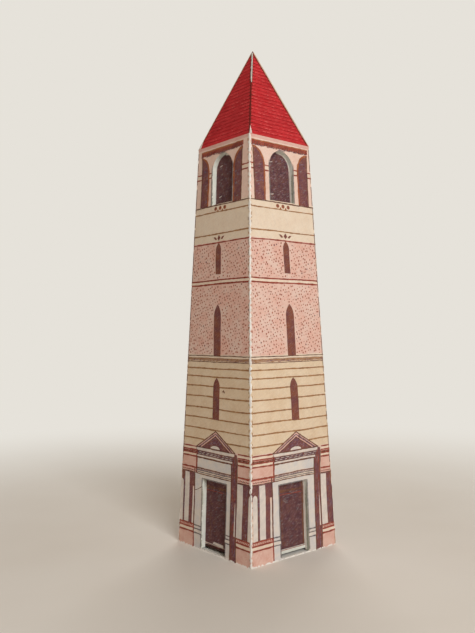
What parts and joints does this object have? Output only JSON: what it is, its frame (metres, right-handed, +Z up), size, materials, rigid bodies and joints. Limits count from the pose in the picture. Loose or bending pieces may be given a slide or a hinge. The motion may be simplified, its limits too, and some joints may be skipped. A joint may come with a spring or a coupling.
{
  "type": "card model bell tower",
  "caption": "Small folded and printed card model of a square tapering bell tower, with arched belfry, doorways under pediments and a red pyramid roof.",
  "frame": {"origin": "middle of the tower's square base, at the level of the table", "axes": "+Z up along the tower, +X out of the right wall, -Y out of the front wall"},
  "size_m": [0.0394, 0.0394, 0.175],
  "materials": {
    "printed_card": "matte uncoated card with a cream and pink coloured print",
    "red_card": "matte uncoated card with a red print",
    "dark_card": "matte uncoated card with a dark brown-purple print",
    "plain_card": "matte uncoated white card"
  },
  "bodies": {
    "root": {"front_wall": "printed_card", "right_wall": "printed_card", "back_wall": "printed_card", "left_wall": "printed_card", "front_roof": "red_card", "right_roof": "red_card", "back_roof": "red_card", "left_roof": "red_card", "front_door_reveal": "plain_card", "right_door_reveal": "plain_card", "back_door_reveal": "plain_card", "left_door_reveal": "plain_card", "front_door_panel": "dark_card", "right_door_panel": "dark_card", "back_door_panel": "dark_card", "left_door_panel": "dark_card", "front_belfry_reveal": "plain_card", "right_belfry_reveal": "plain_card", "back_belfry_reveal": "plain_card", "left_belfry_reveal": "plain_card", "front_belfry_panel": "dark_card", "right_belfry_panel": "dark_card", "back_belfry_panel": "dark_card", "left_belfry_panel": "dark_card", "front_hip_tab": "plain_card", "right_hip_tab": "plain_card", "back_hip_tab": "plain_card", "left_hip_tab": "plain_card", "corner_glue_tab": "plain_card"}
  },
  "joints": []
}
